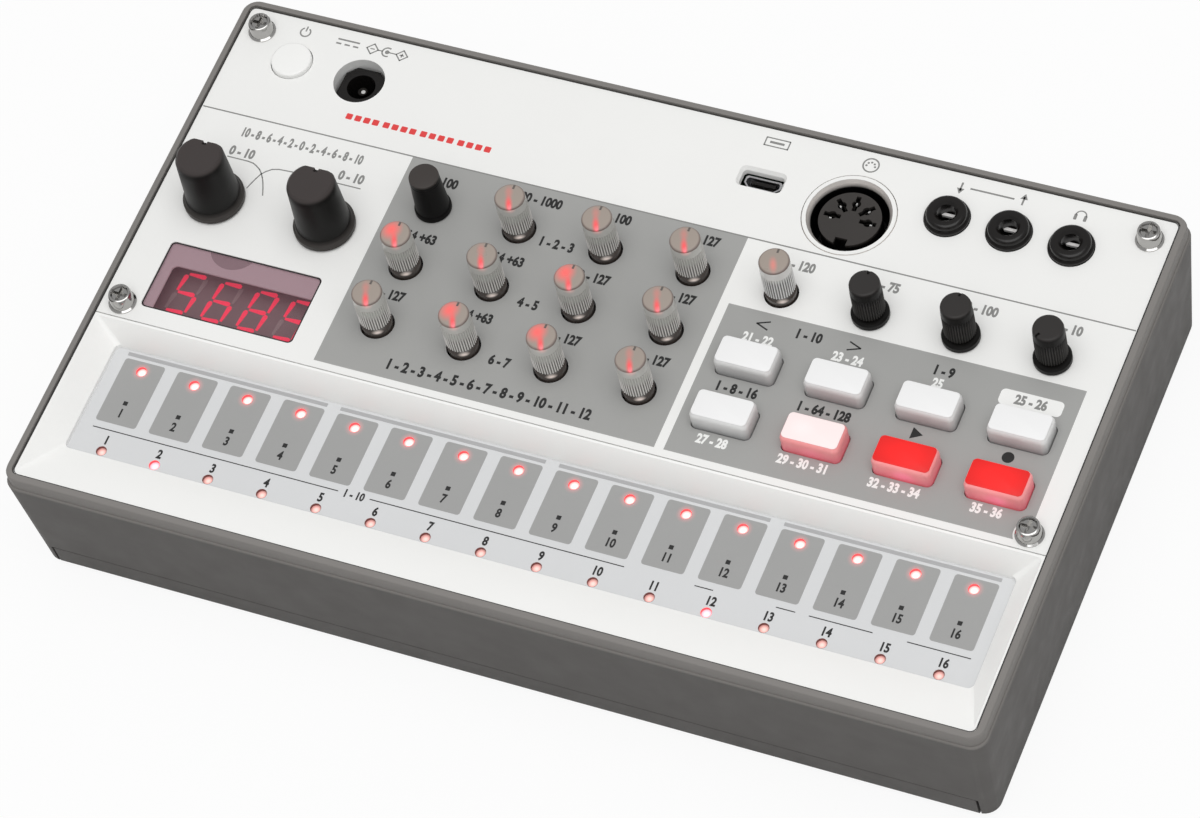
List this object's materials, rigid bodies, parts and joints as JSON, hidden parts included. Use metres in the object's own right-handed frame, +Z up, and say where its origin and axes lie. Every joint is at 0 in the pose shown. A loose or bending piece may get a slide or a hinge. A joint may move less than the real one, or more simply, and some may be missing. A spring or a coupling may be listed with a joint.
{
  "type": "drum machine",
  "caption": "Table-top drum machine with rotary controls, lit keys, a display, a sunken touch strip, audio, sync, data and power sockets and a battery bay.",
  "frame": {"origin": "centre of the bounding box's underside, on the table", "axes": "+X to the player's right, +Y away from the player, +Z up"},
  "size_m": [0.193, 0.115, 0.0461],
  "materials": {
    "case": "fine matte grain",
    "panel": "smooth satin",
    "sheet": "printed satin sheet",
    "window": "tinted and polished",
    "module": "matte with red segments",
    "board": "solder mask",
    "chip": "moulded",
    "lamp": "lit",
    "cable": "flat ribbon",
    "mat": "silicone",
    "foot": "matte",
    "steel": "satin",
    "bright_metal": "polished",
    "socket": "moulded black",
    "cell": "plain sleeve",
    "button": "satin",
    "key": "translucent silicone with a painted top",
    "black_knob": "satin",
    "clear_knob": "smoky, lit red from below"
  },
  "bodies": {
    "case": {"case_bottom": "case", "case_feet": "foot", "front_panel": "panel", "touch_bezel": "panel", "touch_sheet": "sheet", "touch_board": "board", "step_lamps": "lamp", "display_window": "window", "display_module": "module", "main_board": "board", "board_chips": "chip", "panel_lamps": "lamp", "ribbon_cable": "cable", "key_mat": "mat", "small_pot_bodies": "chip", "encoder_body": "steel", "tone_pot_bodies": "steel", "power_switch": "chip", "dc_socket": "socket", "usb_socket": "steel", "midi_shell": "bright_metal", "midi_insert": "socket", "sync_in_socket": "socket", "sync_out_socket": "socket", "phones_socket": "socket", "panel_screws": "bright_metal", "case_screws": "steel", "board_screws": "steel", "aa_cells": "cell", "battery_contacts": "steel", "battery_springs": "steel"},
    "cover": {"battery_cover": "case", "cover_feet": "foot"},
    "encoder_control": {"encoder_knob": "black_knob"},
    "start_control": {"start_knob": "clear_knob"},
    "length_control": {"length_knob": "clear_knob"},
    "cutoff_control": {"cutoff_knob": "clear_knob"},
    "speed_control": {"speed_knob": "clear_knob"},
    "pitch_control": {"pitch_knob": "clear_knob"},
    "pitch_attack_control": {"pitch_attack_knob": "clear_knob"},
    "pitch_decay_control": {"pitch_decay_knob": "clear_knob"},
    "level_control": {"level_knob": "clear_knob"},
    "pan_control": {"pan_knob": "clear_knob"},
    "amp_attack_control": {"amp_attack_knob": "clear_knob"},
    "amp_decay_control": {"amp_decay_knob": "clear_knob"},
    "tempo_control": {"tempo_knob": "clear_knob"},
    "swing_control": {"swing_knob": "black_knob"},
    "reverb_control": {"reverb_knob": "black_knob"},
    "volume_control": {"volume_knob": "black_knob"},
    "low_tone_control": {"low_tone_knob": "black_knob"},
    "high_tone_control": {"high_tone_knob": "black_knob"},
    "power_cap": {"power_button": "button"},
    "reverse_pad": {"reverse_key": "key"},
    "effect_pad": {"effect_key": "key"},
    "solo_pad": {"solo_key": "key"},
    "shift_pad": {"shift_key": "key"},
    "memory_pad": {"memory_key": "key"},
    "step_pad": {"step_key": "key"},
    "play_pad": {"play_key": "key"},
    "record_pad": {"record_key": "key"}
  },
  "joints": [
    {"name": "encoder_turn", "type": "hinge", "parent": "case", "child": "encoder_control", "pos_m": [-0.04115, 0.0211, 0.0365], "axis": [0, 0, 1], "continuous": true},
    {"name": "start_turn", "type": "hinge", "parent": "case", "child": "start_control", "pos_m": [-0.02357, 0.0211, 0.0365], "axis": [0, 0, 1], "range_deg": [-148, 148]},
    {"name": "length_turn", "type": "hinge", "parent": "case", "child": "length_control", "pos_m": [-0.00599, 0.0211, 0.0365], "axis": [0, 0, 1], "range_deg": [-148, 148]},
    {"name": "cutoff_turn", "type": "hinge", "parent": "case", "child": "cutoff_control", "pos_m": [0.01159, 0.0211, 0.0365], "axis": [0, 0, 1], "range_deg": [-148, 148]},
    {"name": "speed_turn", "type": "hinge", "parent": "case", "child": "speed_control", "pos_m": [-0.04115, 0.00755, 0.0365], "axis": [0, 0, 1], "range_deg": [-148, 148]},
    {"name": "pitch_turn", "type": "hinge", "parent": "case", "child": "pitch_control", "pos_m": [-0.02357, 0.00755, 0.0365], "axis": [0, 0, 1], "range_deg": [-148, 148]},
    {"name": "pitch_attack_turn", "type": "hinge", "parent": "case", "child": "pitch_attack_control", "pos_m": [-0.00599, 0.00755, 0.0365], "axis": [0, 0, 1], "range_deg": [-148, 148]},
    {"name": "pitch_decay_turn", "type": "hinge", "parent": "case", "child": "pitch_decay_control", "pos_m": [0.01159, 0.00755, 0.0365], "axis": [0, 0, 1], "range_deg": [-148, 148]},
    {"name": "level_turn", "type": "hinge", "parent": "case", "child": "level_control", "pos_m": [-0.04115, -0.006, 0.0365], "axis": [0, 0, 1], "range_deg": [-148, 148]},
    {"name": "pan_turn", "type": "hinge", "parent": "case", "child": "pan_control", "pos_m": [-0.02357, -0.006, 0.0365], "axis": [0, 0, 1], "range_deg": [-148, 148]},
    {"name": "amp_attack_turn", "type": "hinge", "parent": "case", "child": "amp_attack_control", "pos_m": [-0.00599, -0.006, 0.0365], "axis": [0, 0, 1], "range_deg": [-148, 148]},
    {"name": "amp_decay_turn", "type": "hinge", "parent": "case", "child": "amp_decay_control", "pos_m": [0.01159, -0.006, 0.0365], "axis": [0, 0, 1], "range_deg": [-148, 148]},
    {"name": "tempo_turn", "type": "hinge", "parent": "case", "child": "tempo_control", "pos_m": [0.02917, 0.0211, 0.0365], "axis": [0, 0, 1], "range_deg": [-148, 148]},
    {"name": "swing_turn", "type": "hinge", "parent": "case", "child": "swing_control", "pos_m": [0.04675, 0.0211, 0.0365], "axis": [0, 0, 1], "range_deg": [-148, 148]},
    {"name": "reverb_turn", "type": "hinge", "parent": "case", "child": "reverb_control", "pos_m": [0.06433, 0.0211, 0.0365], "axis": [0, 0, 1], "range_deg": [-148, 148]},
    {"name": "volume_turn", "type": "hinge", "parent": "case", "child": "volume_control", "pos_m": [0.08191, 0.0211, 0.0365], "axis": [0, 0, 1], "range_deg": [-296, 0]},
    {"name": "low_tone_turn", "type": "hinge", "parent": "case", "child": "low_tone_control", "pos_m": [-0.08275, 0.01155, 0.0365], "axis": [0, 0, 1], "range_deg": [-148, 148]},
    {"name": "high_tone_turn", "type": "hinge", "parent": "case", "child": "high_tone_control", "pos_m": [-0.05955, 0.01155, 0.0365], "axis": [0, 0, 1], "range_deg": [-148, 148]},
    {"name": "power_button_press", "type": "slide", "parent": "case", "child": "power_cap", "axis": [0, 0, -1], "range_m": [0, 0.0008], "stiffness_N_per_m": 600, "springref_m": -0.0008},
    {"name": "reverse_key_press", "type": "slide", "parent": "case", "child": "reverse_pad", "axis": [0, 0, -1], "range_m": [0, 0.001], "stiffness_N_per_m": 400, "springref_m": -0.0008},
    {"name": "effect_key_press", "type": "slide", "parent": "case", "child": "effect_pad", "axis": [0, 0, -1], "range_m": [0, 0.001], "stiffness_N_per_m": 400, "springref_m": -0.0008},
    {"name": "solo_key_press", "type": "slide", "parent": "case", "child": "solo_pad", "axis": [0, 0, -1], "range_m": [0, 0.001], "stiffness_N_per_m": 400, "springref_m": -0.0008},
    {"name": "shift_key_press", "type": "slide", "parent": "case", "child": "shift_pad", "axis": [0, 0, -1], "range_m": [0, 0.001], "stiffness_N_per_m": 400, "springref_m": -0.0008},
    {"name": "memory_key_press", "type": "slide", "parent": "case", "child": "memory_pad", "axis": [0, 0, -1], "range_m": [0, 0.001], "stiffness_N_per_m": 400, "springref_m": -0.0008},
    {"name": "step_key_press", "type": "slide", "parent": "case", "child": "step_pad", "axis": [0, 0, -1], "range_m": [0, 0.001], "stiffness_N_per_m": 400, "springref_m": -0.0008},
    {"name": "play_key_press", "type": "slide", "parent": "case", "child": "play_pad", "axis": [0, 0, -1], "range_m": [0, 0.001], "stiffness_N_per_m": 400, "springref_m": -0.0008},
    {"name": "record_key_press", "type": "slide", "parent": "case", "child": "record_pad", "axis": [0, 0, -1], "range_m": [0, 0.001], "stiffness_N_per_m": 400, "springref_m": -0.0008},
    {"name": "cover_slide", "type": "slide", "parent": "case", "child": "cover", "axis": [0, -1, 0], "range_m": [0, 0.008]}
  ]
}
